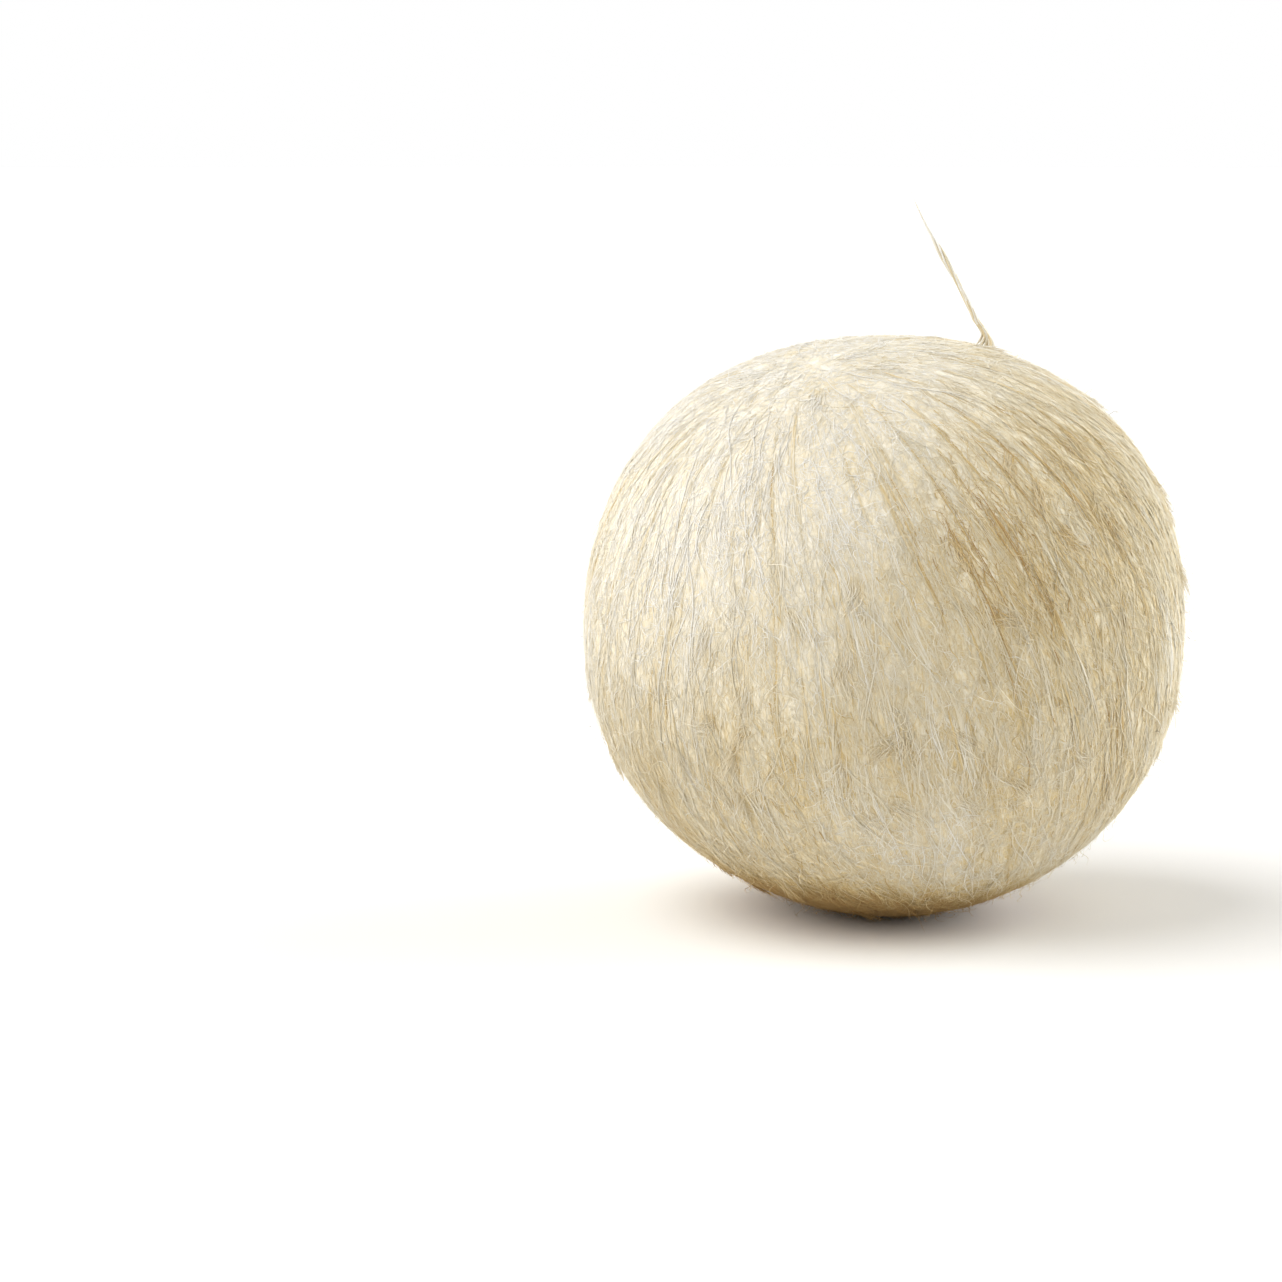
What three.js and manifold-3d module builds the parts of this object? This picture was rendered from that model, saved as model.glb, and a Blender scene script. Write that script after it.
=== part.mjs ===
// A whole coconut with its husk taken off: a near-round nut that still wears a close coat of
// pale, matted husk fibre, and one long loose strand of fibre standing up from its crown.
//
// Millimetres, +Z up. The nut rests on a small flat spot on the floor plane z = 0, and the
// middle of its width and depth is on the Z axis. The front is -Y and the right-hand side is +X.

import * as THREE from 'three';
import { mergeVertices } from 'three/addons/utils/BufferGeometryUtils.js';
import Module from 'manifold-3d';

const wasm = await Module();
wasm.setup();

// Driving dimensions of the nut, fibre coat included
const NUT_WIDTH = 126;
const NUT_HEIGHT = 121.6; // crown to base, before the rest spot is worn flat
// Exponents of the side profile: 2 is an ellipse, and more has fuller shoulders
const CROWN_FULLNESS = 2.2;
const BASE_FULLNESS = 2.08;
const REST_SPOT_RADIUS = 11;

// The nut grew from three joined carpels, so a section across its own axis is very slightly
// three-sided. That axis comes out at the fibre crown, at the upper front left of the nut.
const CROWN = new THREE.Vector3(-0.24, -0.33, 0.91).normalize();
const LOBE_HEIGHT = 0.55;
const LOBE_TURN = THREE.MathUtils.degToRad(200);

// Long loose strand: its root on the nut's top right, and how it leans and tapers
const STRAND_ROOT = new THREE.Vector3(0.34, 0.13, 0.93).normalize();
const STRAND_RISE = 30;
const STRAND_LEAN = -15.5;
const STRAND_ROOT_RADIUS = 1.9;
const STRAND_NECK_RADIUS = 0.85; // above the frayed foot
const STRAND_TIP_RADIUS = 0.22;
const STRAND_FOOT_SHARE = 0.16; // share of the length over which the foot narrows to the neck
const STRAND_SUNK = 2.5; // how far the raw strand starts inside the nut, before it is trimmed
const TOUCH_GAP = 0.3;

// Fineness of the meshes
const NUT_DETAIL = 13;
const STRAND_SIDES = 10;
const STRAND_STEPS = 16;

// The nut's surface point in a direction from its middle

const crownSide = new THREE.Vector3(1, 0, 0).cross(CROWN).normalize();
const crownFront = new THREE.Vector3().crossVectors(CROWN, crownSide);

function nutRadius(direction) {
  const across = Math.hypot(direction.x, direction.y) / (NUT_WIDTH / 2);
  const upright = Math.abs(direction.z) / (NUT_HEIGHT / 2);
  const fullness = direction.z > 0 ? CROWN_FULLNESS : BASE_FULLNESS;
  const round = (across ** fullness + upright ** fullness) ** (-1 / fullness);
  const turn = Math.atan2(direction.dot(crownSide), direction.dot(crownFront));
  const fromCrown = Math.sqrt(Math.max(0, 1 - direction.dot(CROWN) ** 2));
  return round + LOBE_HEIGHT * fromCrown ** 3 * Math.cos(3 * turn - LOBE_TURN);
}

function nutGeometry(grow) {
  const geometry = new THREE.IcosahedronGeometry(1, NUT_DETAIL);
  geometry.deleteAttribute('normal');
  geometry.deleteAttribute('uv');
  const merged = mergeVertices(geometry);
  const position = merged.attributes.position;
  const point = new THREE.Vector3();
  for (let i = 0; i < position.count; i += 1) {
    point.fromBufferAttribute(position, i).normalize();
    point.multiplyScalar(nutRadius(point) + grow);
    position.setXYZ(i, point.x, point.y, point.z);
  }
  return merged;
}

// Depth that a flat of the rest spot's radius takes off the base
function restSpotDepth() {
  const share = (REST_SPOT_RADIUS / (NUT_WIDTH / 2)) ** BASE_FULLNESS;
  return (NUT_HEIGHT / 2) * (1 - (1 - share) ** (1 / BASE_FULLNESS));
}

// Solids to cut with, and back to a mesh's geometry

function toSolid(geometry) {
  const plain = geometry.clone();
  plain.deleteAttribute('normal');
  plain.deleteAttribute('uv');
  const merged = mergeVertices(plain);
  return new wasm.Manifold(new wasm.Mesh({
    numProp: 3,
    vertProperties: new Float32Array(merged.attributes.position.array),
    triVerts: new Uint32Array(merged.index.array),
  }));
}

function toGeometry(solid) {
  const mesh = solid.getMesh();
  const geometry = new THREE.BufferGeometry();
  geometry.setAttribute('position', new THREE.BufferAttribute(mesh.vertProperties, 3));
  geometry.setIndex(new THREE.BufferAttribute(mesh.triVerts, 1));
  geometry.computeVertexNormals();
  return geometry;
}

// The nut: its round form with the rest spot taken flat off the base

const floorDepth = NUT_HEIGHT / 2 - restSpotDepth();

function flatBasedNut() {
  const below = new THREE.BoxGeometry(NUT_WIDTH, NUT_WIDTH, NUT_HEIGHT);
  below.translate(0, 0, -floorDepth - NUT_HEIGHT / 2);
  return toGeometry(toSolid(nutGeometry(0)).subtract(toSolid(below)));
}

// The strand: a lathed taper bent along a curve, its foot trimmed to the nut's surface

function strandPath() {
  const root = STRAND_ROOT.clone().multiplyScalar(nutRadius(STRAND_ROOT) - STRAND_SUNK);
  const along = (leanShare, riseShare) => new THREE.Vector3(
    root.x + STRAND_LEAN * leanShare,
    root.y,
    root.z + (STRAND_RISE + STRAND_SUNK) * riseShare,
  );
  return new THREE.CubicBezierCurve3(root, along(0.1, 0.3), along(0.66, 0.62), along(1, 1));
}

function strandRadius(t) {
  if (t < STRAND_FOOT_SHARE) {
    const open = (1 - t / STRAND_FOOT_SHARE) ** 2;
    return STRAND_NECK_RADIUS + (STRAND_ROOT_RADIUS - STRAND_NECK_RADIUS) * open;
  }
  const beyond = (t - STRAND_FOOT_SHARE) / (1 - STRAND_FOOT_SHARE);
  return THREE.MathUtils.lerp(STRAND_NECK_RADIUS, STRAND_TIP_RADIUS, beyond);
}

function strandGeometry() {
  const profile = [new THREE.Vector2(0, 0)];
  for (let step = 0; step <= STRAND_STEPS; step += 1) {
    const t = step / STRAND_STEPS;
    profile.push(new THREE.Vector2(strandRadius(t), t));
  }
  profile.push(new THREE.Vector2(0, 1));
  const geometry = new THREE.LatheGeometry(profile, STRAND_SIDES);
  const path = strandPath();
  const depthways = new THREE.Vector3(0, 1, 0);
  const position = geometry.attributes.position;
  const point = new THREE.Vector3();
  for (let i = 0; i < position.count; i += 1) {
    point.fromBufferAttribute(position, i);
    const t = point.y;
    const sideways = new THREE.Vector3().crossVectors(depthways, path.getTangent(t)).normalize();
    const bent = path.getPoint(t)
      .addScaledVector(sideways, point.x)
      .addScaledVector(depthways, -point.z);
    position.setXYZ(i, bent.x, bent.y, bent.z);
  }
  return toGeometry(toSolid(geometry).subtract(toSolid(nutGeometry(TOUCH_GAP))));
}

// The assembly

const fibreCoat = new THREE.MeshStandardMaterial({ color: 0xcfc1a2, roughness: 0.92, metalness: 0 });
const straw = new THREE.MeshStandardMaterial({ color: 0xe3d4ac, roughness: 0.85, metalness: 0 });

const coconut = new THREE.Group();

const nut = new THREE.Mesh(flatBasedNut(), fibreCoat);
nut.name = 'coconut_in_fibre_coat';
coconut.add(nut);

const strand = new THREE.Mesh(strandGeometry(), straw);
strand.name = 'loose_fibre_strand';
coconut.add(strand);

// The lobes push the nut's box a little off its middle, so the group is moved to centre it
nut.geometry.computeBoundingBox();
const middle = nut.geometry.boundingBox.getCenter(new THREE.Vector3());
coconut.position.set(-middle.x, -middle.y, floorDepth);

export default coconut;
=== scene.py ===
"""A whole coconut, husk off, in its coat of pale matted fibre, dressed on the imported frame.

The nut's skin is measured from the frame. Just under it lies a felted body, and on that lie
combed locks, short felt fibres, old tan fibres, raised hairs, fuzz and loose hairs, which all
run from the nut's crown to its far end. A frayed strand stands at the crown.
"""

import math
from functools import lru_cache

import bpy
import numpy as np
from bpy.props import FloatProperty, FloatVectorProperty, IntProperty, PointerProperty
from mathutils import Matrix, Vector
from mathutils.bvhtree import BVHTree


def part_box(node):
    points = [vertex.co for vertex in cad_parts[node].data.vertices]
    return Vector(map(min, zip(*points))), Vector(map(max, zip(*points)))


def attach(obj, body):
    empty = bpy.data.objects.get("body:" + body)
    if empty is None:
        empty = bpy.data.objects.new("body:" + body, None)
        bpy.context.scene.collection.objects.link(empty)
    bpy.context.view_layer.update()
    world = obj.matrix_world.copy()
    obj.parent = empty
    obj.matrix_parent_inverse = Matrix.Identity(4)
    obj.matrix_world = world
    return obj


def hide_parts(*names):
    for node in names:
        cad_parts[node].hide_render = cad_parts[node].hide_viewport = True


bl_info = {
    "name": "Coconut in Fibre Coat",
    "version": (1, 0, 0),
    "blender": (4, 5, 0),
    "location": "3D View > Sidebar > Coconut",
    "description": "Dresses a coconut's frame with felted body, combed fibre, hairs and fuzz",
    "category": "Object",
}

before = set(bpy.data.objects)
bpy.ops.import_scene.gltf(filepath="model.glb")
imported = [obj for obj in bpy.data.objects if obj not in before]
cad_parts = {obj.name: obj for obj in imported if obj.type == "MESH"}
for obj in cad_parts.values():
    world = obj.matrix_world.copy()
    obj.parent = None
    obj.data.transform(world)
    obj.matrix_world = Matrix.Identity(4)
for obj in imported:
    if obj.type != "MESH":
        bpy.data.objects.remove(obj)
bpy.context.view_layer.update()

BODY = "root"
NUT_NODE = "coconut_in_fibre_coat"
STRAND_NODE = "loose_fibre_strand"
NUT_LOW, NUT_HIGH = (np.array(corner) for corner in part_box(NUT_NODE))
STRAND_LOW, STRAND_HIGH = (np.array(corner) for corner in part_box(STRAND_NODE))
MIDDLE = (NUT_LOW + NUT_HIGH) / 2
RADIUS = float(NUT_HIGH[0] - NUT_LOW[0]) / 2
MM = 0.001

# The fibres run from the crown, at the nut's upper front left, to the opposite end
CROWN = np.array((-0.24, -0.33, 0.91))
CROWN /= np.linalg.norm(CROWN)


# Numbers that change smoothly over the nut


def unit(vectors):
    """The vectors at length 1."""
    return vectors / np.maximum(np.linalg.norm(vectors, axis=-1, keepdims=True), 1e-12)


def smooth_step(low, high, value):
    """0 below low, 1 above high and a soft rise between."""
    share = np.clip((value - low) / (high - low), 0, 1)
    return share * share * (3 - 2 * share)


class Waves:
    """A smooth random field, about -1 to 1, whose lumps are roughly `size` across."""

    COUNT = 28

    def __init__(self, seed, size):
        random = np.random.default_rng(seed)
        ways = unit(random.normal(size=(self.COUNT, 3)))
        pitch = random.uniform(0.7, 1.6, (self.COUNT, 1)) * math.pi / size
        self.ways = (ways * pitch).T
        self.starts = random.uniform(0, 2 * math.pi, self.COUNT)

    def __call__(self, points):
        return np.sin(points @ self.ways + self.starts).sum(-1) / math.sqrt(self.COUNT)


CROWN_SIDE = unit(np.cross((1.0, 0.0, 0.0), CROWN))
CROWN_FRONT = np.cross(CROWN, CROWN_SIDE)
FLOW_WARP = 0.035  # how far the lines of fibre stray round the crown, in radians
WARP = Waves(17, 0.75)


def from_crown(directions):
    """Angle between each direction and the crown."""
    return np.arccos(np.clip(directions @ CROWN, -1, 1))


def line_of(directions):
    """Which line of fibre a direction is on, as a heading round the crown."""
    plain = np.arctan2(directions @ CROWN_SIDE, directions @ CROWN_FRONT)
    return plain + FLOW_WARP * WARP(directions)


def flow(directions):
    """Which way the fibres run over the skin: away from the crown, along one line."""
    away = unit(directions * (directions @ CROWN)[..., None] - CROWN)
    side = np.cross(directions, away)
    nudge = 0.01
    strayed = WARP(unit(directions + away * nudge)) - WARP(directions)
    angle = FLOW_WARP * strayed / nudge * np.sin(from_crown(directions))
    return away * np.cos(angle)[..., None] + side * np.sin(angle)[..., None]


def grain_points(directions, across, along):
    """Places for a field of streaks: `across` is a streak's width and `along` its length."""
    line = line_of(directions)[..., None]
    ring = CROWN_FRONT * np.cos(line) + CROWN_SIDE * np.sin(line)
    turned = from_crown(directions)[..., None] * CROWN
    return ring * (RADIUS / across) + turned * (RADIUS / along)


def on_line(lines, turned):
    """Directions on the given lines of fibre, at the given angles from the crown."""
    plain = lines
    for _ in range(3):
        ring = CROWN_FRONT * np.cos(plain)[..., None] + CROWN_SIDE * np.sin(plain)[..., None]
        directions = CROWN * np.cos(turned)[..., None] + ring * np.sin(turned)[..., None]
        plain = lines - FLOW_WARP * WARP(directions)
    return directions


# The long folds at the upper front: the line of fibre and the angle from the crown at which each
# begins, then its length and width in millimetres and its share of a full crease's depth
FOLDS = (
    (1.04, 0.34, 54, 0.7, 0.8),
    (1.19, 0.28, 34, 0.65, 0.7),
    (1.40, 0.44, 26, 0.6, 0.7),
    (0.90, 0.80, 36, 0.6, 0.5),
    (1.84, 0.50, 34, 0.7, 0.65),
    (0.54, 0.76, 34, 0.6, 0.3),
    (2.38, 0.62, 22, 0.7, 0.5),
)


class Creases:
    """Long, thin creases in the coat that run with the fibres: the folds, and random ones."""

    BEGINS = (0.2, 2.2)  # angles from the crown
    LENGTHS = (8, 48)  # millimetres
    WIDTHS = (0.4, 0.95)  # millimetres
    DEPTHS = (0.15, 0.65)  # shares of a full crease's depth

    def __init__(self, seed, count):
        random = np.random.default_rng(seed)
        line, begin, length, width, depth = np.array(FOLDS).T
        self.lines = np.concatenate([line, random.uniform(-math.pi, math.pi, count)])
        self.begins = np.concatenate([begin, random.uniform(*self.BEGINS, count)])
        self.spans = np.concatenate([length, random.uniform(*self.LENGTHS, count)]) * MM / RADIUS
        self.widths = np.concatenate([width, random.uniform(*self.WIDTHS, count)]) * MM
        self.depths = np.concatenate([depth, random.uniform(*self.DEPTHS, count)])

    def __call__(self, directions):
        """How deep each direction lies in a crease, from 0 to 1."""
        line, turned = line_of(directions), from_crown(directions)
        found = np.zeros(directions.shape[:-1])
        for middle, begin, span, width, depth in zip(
            self.lines, self.begins, self.spans, self.widths, self.depths
        ):
            off = (line - middle + math.pi) % (2 * math.pi) - math.pi
            across = off * np.sin(turned) * RADIUS / width
            share = np.clip((turned - begin) / span, 0, 1)
            found = np.maximum(found, depth * np.exp(-(across**2)) * np.sin(math.pi * share) ** 0.7)
        return found


# The nut's skin, measured from the frame

SKIN_ROWS, SKIN_COLUMNS = 181, 360


@lru_cache(maxsize=1)
def skin_table():
    """Distance from the nut's middle to its skin, by polar angle and heading."""
    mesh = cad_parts[NUT_NODE].data
    corners = [v.co for v in mesh.vertices]
    faces = [p.vertices[:] for p in mesh.polygons]
    tree = BVHTree.FromPolygons(corners, faces)
    middle = Vector(MIDDLE)
    table = np.empty((SKIN_ROWS, SKIN_COLUMNS))
    for row, polar in enumerate(np.linspace(0, math.pi, SKIN_ROWS)):
        for column, heading in enumerate(np.arange(SKIN_COLUMNS) * 2 * math.pi / SKIN_COLUMNS):
            way = Vector((
                math.sin(polar) * math.cos(heading),
                math.sin(polar) * math.sin(heading),
                math.cos(polar),
            ))
            table[row, column] = tree.ray_cast(middle, way)[3]
    return table


def skin_radius(directions):
    """Distance from the middle to the skin along each direction, between the table's places."""
    table = skin_table()
    row = np.arccos(np.clip(directions[..., 2], -1, 1)) / math.pi * (SKIN_ROWS - 1)
    heading = np.arctan2(directions[..., 1], directions[..., 0]) % (2 * math.pi)
    column = heading / (2 * math.pi) * SKIN_COLUMNS
    above = np.minimum(row.astype(int), SKIN_ROWS - 2)
    left = column.astype(int) % SKIN_COLUMNS
    right = (left + 1) % SKIN_COLUMNS
    down, over = row - above, column - column.astype(int)
    upper = table[above, left] * (1 - over) + table[above, right] * over
    lower = table[above + 1, left] * (1 - over) + table[above + 1, right] * over
    return upper * (1 - down) + lower * down


# How the coat changes from place to place

# Directions from the nut's middle
LIT_SIDE = unit(np.array((-0.58, -0.30, 0.76)))  # the middle of the side the key light falls on, painted palest as painted highlight
CORE_SHADE_SIDE = unit(np.array((0.45, -0.72, 0.53)))  # a broad patch painted darker as painted shade, between the key and the fill light
LIGHT_PATCH = unit(np.array((0.06, -0.90, -0.43)))  # a paler patch, low at the front
WORN_PATCH = unit(np.array((0.42, -0.79, -0.44)))  # a spot rubbed smooth, low at the right

# Heights on a nut of radius 1, between which a change takes place
FELT_EDGE = (-0.62, -0.15)  # smooth felt below, combed fibre above
LIT_SIDE_EDGE = (0.22, 1.0)  # towards LIT_SIDE: not on the lit side below, fully on it above
BODY_LIT_SIDE_EDGE = (0.1, 1.0)  # the same for the felted body
REST_SPOT_SHADE_EDGE = (-0.99, -0.70)  # painted shade round the rest spot below, none above

SMOOTH_EDGE = Waves(11, 0.5)
SMOOTH_PATCHES = Waves(12, 0.55)
LUMPS = Waves(13, 0.55)
RIDGES = Waves(14, 1.0)
FINE_RIDGES = Waves(15, 1.0)
FELT = Waves(16, 0.045)
TONE_PATCHES = Waves(19, 0.45)
CREASES = Creases(20, 210)

# Width and length of a ridge
RIDGE_SIZE = (5.5 * MM, 38 * MM)
FINE_RIDGE_SIZE = (2.2 * MM, 20 * MM)

# Heights on the felted body, in millimetres
LUMP_HEIGHT = 0.30
FELT_HEIGHT = 0.07
RIDGE_HEIGHT = 0.11
RIDGE_NOTCH = 0.05
FINE_RIDGE_HEIGHT = 0.04
CREASE_DEPTH = 0.42
SETTLED = 0.6  # how much closer the fibres lie where the coat is closest

# What a place adds to a fibre's tone, from 0, tan, to 1, ivory
PATCH_TONE = 0.06
STREAK_TONE = 0.045
# Painted shade: how much darker fibre is in a crease
CREASE_SHADE = 0.12
LIT_SIDE_CREASE_SHADE = 0.3  # more of this painted shade on the lit side
SMOOTH_TONE = 0.07
# Painted shade: how much darker the patch between the key and the fill light is
CORE_SHADE = 0.15
LIGHT_TONE = 0.10
# Painted highlight: how much paler the coat is on the lit upper-left side
LIT_SIDE_HIGHLIGHT = 0.40
# Painted shade: how much darker the coat is round the rest spot below
REST_SPOT_SHADE = 0.85


def lit_side_share(directions):
    """How much the coat pales towards the crown and the upper left, from 0 to 1: painted highlight on the
    side the key light falls on.
    """
    return smooth_step(*LIT_SIDE_EDGE, directions @ LIT_SIDE)


def smoothness(directions):
    """How far the coat is smooth felt, from 0 to 1: low on the nut, in patches and at the crown."""
    low = 1 - smooth_step(*FELT_EDGE, directions[..., 2] + 0.12 * SMOOTH_EDGE(directions))
    patch = smooth_step(0.75, 1.25, SMOOTH_PATCHES(directions))
    crown = 1 - smooth_step(0.12, 0.34, from_crown(directions))
    worn = smooth_step(0.990, 0.998, directions @ WORN_PATCH)
    return np.clip(low * 0.95 + patch * 0.6 + crown + worn + 0.75 * lit_side_share(directions), 0, 1)


def closeness(directions):
    """How closely the coat lies, low down and on the lit upper-left side: 0 is loose."""
    low = 1 - smooth_step(*FELT_EDGE, directions[..., 2])
    return SETTLED * np.maximum(smooth_step(-0.3, 0.7, directions @ LIT_SIDE), 0.3 + 0.45 * low)


def relief(directions):
    """How far the felted body stands above its mean depth, in metres."""
    combed = 1 - smoothness(directions)
    settled = 1 - closeness(directions)
    ridges = RIDGES(grain_points(directions, *RIDGE_SIZE))
    fine = FINE_RIDGES(grain_points(directions, *FINE_RIDGE_SIZE))
    height = LUMP_HEIGHT * LUMPS(directions) + FELT_HEIGHT * FELT(directions)
    height += settled * (RIDGE_HEIGHT * ridges - RIDGE_NOTCH * np.abs(ridges))
    height += FINE_RIDGE_HEIGHT * combed * fine
    return (height - CREASE_DEPTH * CREASES(directions)) * MM


def coat_tone(directions):
    """What the place on the nut adds to a fibre's tone."""
    # pale is the share on the lit upper-left side, where the fibre is painted paler as painted highlight
    pale = lit_side_share(directions)
    # Painted shade round the rest spot below
    rest_spot_shade = REST_SPOT_SHADE * (1 - smooth_step(*REST_SPOT_SHADE_EDGE, directions[..., 2]))
    streak = RIDGES(grain_points(directions, *RIDGE_SIZE))
    tone = PATCH_TONE * TONE_PATCHES(directions) + STREAK_TONE * streak
    # Creases are painted darker, as painted shade
    tone -= (CREASE_SHADE + LIT_SIDE_CREASE_SHADE * pale) * CREASES(directions)
    tone += SMOOTH_TONE * smooth_step(0.6, 1.2, SMOOTH_PATCHES(directions))
    # Painted shade between the key and the fill light
    tone -= CORE_SHADE * smooth_step(0.84, 0.99, directions @ CORE_SHADE_SIDE)
    tone += LIGHT_TONE * smooth_step(0.93, 0.99, directions @ LIGHT_PATCH)
    return tone + LIT_SIDE_HIGHLIGHT * pale - rest_spot_shade


def spread_directions(random, count):
    """Random directions spread evenly over the nut."""
    return unit(random.normal(size=(count, 3)))


# Fibres

COAT_DEPTH = 0.9 * MM  # how deep the felted body lies under the coat's outer face
FLOOR_CLEAR = 0.15 * MM
MEAN_LIFT = 0.12  # millimetres above the felted body, where depth doesn't change the tone
TOP_LIFT = 0.32  # millimetres, above which a fibre gets no paler
DEPTH_SHADE = 1.7  # painted shade: how much paler a fibre is for a millimetre more of lift, so deeper fibre is darker
TAPER_ROOT = 0.12  # shares of a fibre's length over which it widens and then narrows
TAPER_TIP = 0.35


def walk(starts, lengths, headings, steps):
    """Lays a path over the skin from each start. headings is the angle off the flow at each step."""
    paths = np.empty((len(starts), steps, 3))
    paths[:, 0] = starts
    stride = (lengths / RADIUS / (steps - 1))[:, None]
    for step in range(1, steps):
        here = paths[:, step - 1]
        along = flow(here)
        side = np.cross(here, along)
        angle = headings[:, step - 1, None]
        paths[:, step] = unit(here + (along * np.cos(angle) + side * np.sin(angle)) * stride)
    return paths


def wander(random, count, steps, lean, curl, turns):
    """Headings for `walk`: a constant lean for each fibre and a curl of a few turns."""
    along = np.linspace(0, 1, steps)[None, :]
    headings = random.normal(0, lean, (count, 1)) * np.ones((1, steps))
    for octave in (1, 2):
        pitch = random.uniform(0.5, 1.0, (count, 1)) * turns * octave
        start = random.uniform(0, 1, (count, 1))
        size = random.normal(0, curl / octave, (count, 1))
        headings += size * np.sin(2 * math.pi * (pitch * along + start))
    return headings


def raise_to(directions, heights):
    """Points at those heights above the felted body's mean depth."""
    out = skin_radius(directions) - COAT_DEPTH + heights
    points = MIDDLE + directions * out[..., None]
    points[..., 2] = np.maximum(points[..., 2], FLOOR_CLEAR)
    return points


def taper(steps, root, tip):
    """A fibre's width along its length, as shares of its full width."""
    along = np.linspace(0, 1, steps)
    widening = np.minimum(1, root + (1 - root) * along / TAPER_ROOT)
    narrowing = np.minimum(1, tip + (1 - tip) * (1 - along) / TAPER_TIP)
    return widening * narrowing


# Corners of a fibre's section and the way each faces, as (sideways, outwards) in half-widths
FLAT_SECTION = (((-1, 0), (1, 0), (0, 0.6)), ((-0.2, 1), (0.2, 1), (0, 1)))
ROUND_CORNERS = tuple((math.cos(turn), math.sin(turn)) for turn in np.arange(5) * 2 * math.pi / 5)
ROUND_SECTION = (ROUND_CORNERS, ROUND_CORNERS)
TONE_BAND = 0.004  # half the width of tone that a fibre's sides span
PLACE_RANGE = (0.02, 0.98)  # keep the UV map just inside its square
TONE_RANGE = (0.03, 0.97)


def fibre_piece(name, points, widths, tones, outward, section):
    """One mesh of closed fibres.

    points is (fibres, steps, 3), and widths and tones are (fibres, steps). outward is the way the
    fibres' outer side faces. The UV map holds the place along each fibre and its tone there,
    which its material reads.
    """
    count, steps = points.shape[:2]
    shape, facing = (np.array(pairs, float) for pairs in section)
    sides = len(shape)
    along = unit(np.gradient(points, axis=1))
    side = unit(np.cross(along, outward))[:, :, None]
    lift = np.cross(side, along[:, :, None])
    half = (widths / 2)[:, :, None, None]
    ring = points[:, :, None] + (side * shape[:, :1] + lift * shape[:, 1:]) * half
    corners = ring.reshape(-1, 3)
    normals = unit(side * facing[:, :1] + lift * facing[:, 1:]).reshape(-1, 3)

    first = (np.arange(count) * steps * sides)[:, None, None]
    edge = np.arange(sides)
    after = (edge + 1) % sides
    base = first + (np.arange(steps - 1) * sides)[None, :, None]
    quads = np.stack([base + edge, base + sides + edge, base + sides + after, base + after], -1)
    quads = quads.reshape(-1, 4)
    ends = np.concatenate([first[:, 0] + edge, first[:, 0] + (steps - 1) * sides + edge[::-1]])

    loops = np.concatenate([quads.ravel(), ends.ravel()])
    sizes = np.concatenate([np.full(len(quads), 4), np.full(len(ends), sides)])
    mesh = bpy.data.meshes.new(name)
    mesh.vertices.add(len(corners))
    mesh.vertices.foreach_set("co", corners.astype(np.float32).ravel())
    mesh.loops.add(len(loops))
    mesh.loops.foreach_set("vertex_index", loops.astype(np.int32))
    mesh.polygons.add(len(sizes))
    mesh.polygons.foreach_set("loop_start", (np.cumsum(sizes) - sizes).astype(np.int32))
    mesh.polygons.foreach_set("use_smooth", np.ones(len(sizes), bool))

    place = np.broadcast_to(np.linspace(*PLACE_RANGE, steps)[None, :, None], (count, steps, sides))
    band = np.linspace(-TONE_BAND, TONE_BAND, sides)
    tone = np.clip(tones, *TONE_RANGE)[:, :, None] + band
    uv = np.stack([place, tone], -1).reshape(-1, 2)
    layer = mesh.uv_layers.new(name="OFBake", do_init=False)
    layer.uv.foreach_set("vector", uv[loops].astype(np.float32).ravel())
    mesh.update(calc_edges=True)
    mesh.normals_split_custom_set_from_vertices(normals)
    piece = bpy.data.objects.new(name, mesh)
    bpy.context.scene.collection.objects.link(piece)
    return piece


def coat_piece(piece, material):
    """Gives a piece its finish and lets it ride on the nut."""
    piece.data.materials.append(material)
    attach(piece, BODY)
    return piece


def in_sectors(directions, sectors):
    """Which sector round the crown each direction is in."""
    turn = np.arctan2(directions @ CROWN_SIDE, directions @ CROWN_FRONT) / (2 * math.pi) % 1
    return np.minimum((turn * sectors).astype(int), sectors - 1)


def lay_fibres(name, material, paths, lifts, widths, tones, sectors=1, section=FLAT_SECTION):
    """Lays fibres over the felted body, in one piece a sector. Deeper fibre is darker, as painted shade."""
    # Painted shade: fibre lying deeper is given a darker tone
    depth = DEPTH_SHADE * (np.minimum(lifts, TOP_LIFT) - MEAN_LIFT)
    lifts = lifts * (1 - closeness(paths))
    points = raise_to(paths, relief(paths) + lifts * MM)
    tones = tones[:, None] + coat_tone(paths) + depth
    sector = in_sectors(paths[:, paths.shape[1] // 2], sectors)
    for number in range(sectors):
        chosen = sector == number
        label = f"{name}_{number + 1}" if sectors > 1 else name
        piece = fibre_piece(label, points[chosen], widths[chosen], tones[chosen], paths[chosen], section)
        coat_piece(piece, material)


# Materials


class Socket:
    """A socket of a material, with number maths written as Python operators."""

    def __init__(self, finish, socket):
        self.finish = finish
        self.socket = socket

    def maths(self, operation, *values):
        return self.finish.node("ShaderNodeMath", {"operation": operation}, dict(enumerate(values)))

    def __add__(self, other):
        return self.maths("ADD", self, other)

    def __sub__(self, other):
        return self.maths("SUBTRACT", self, other)

    def __rsub__(self, other):
        return self.maths("SUBTRACT", other, self)

    def __mul__(self, other):
        return self.maths("MULTIPLY", self, other)

    __radd__ = __add__
    __rmul__ = __mul__


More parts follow.
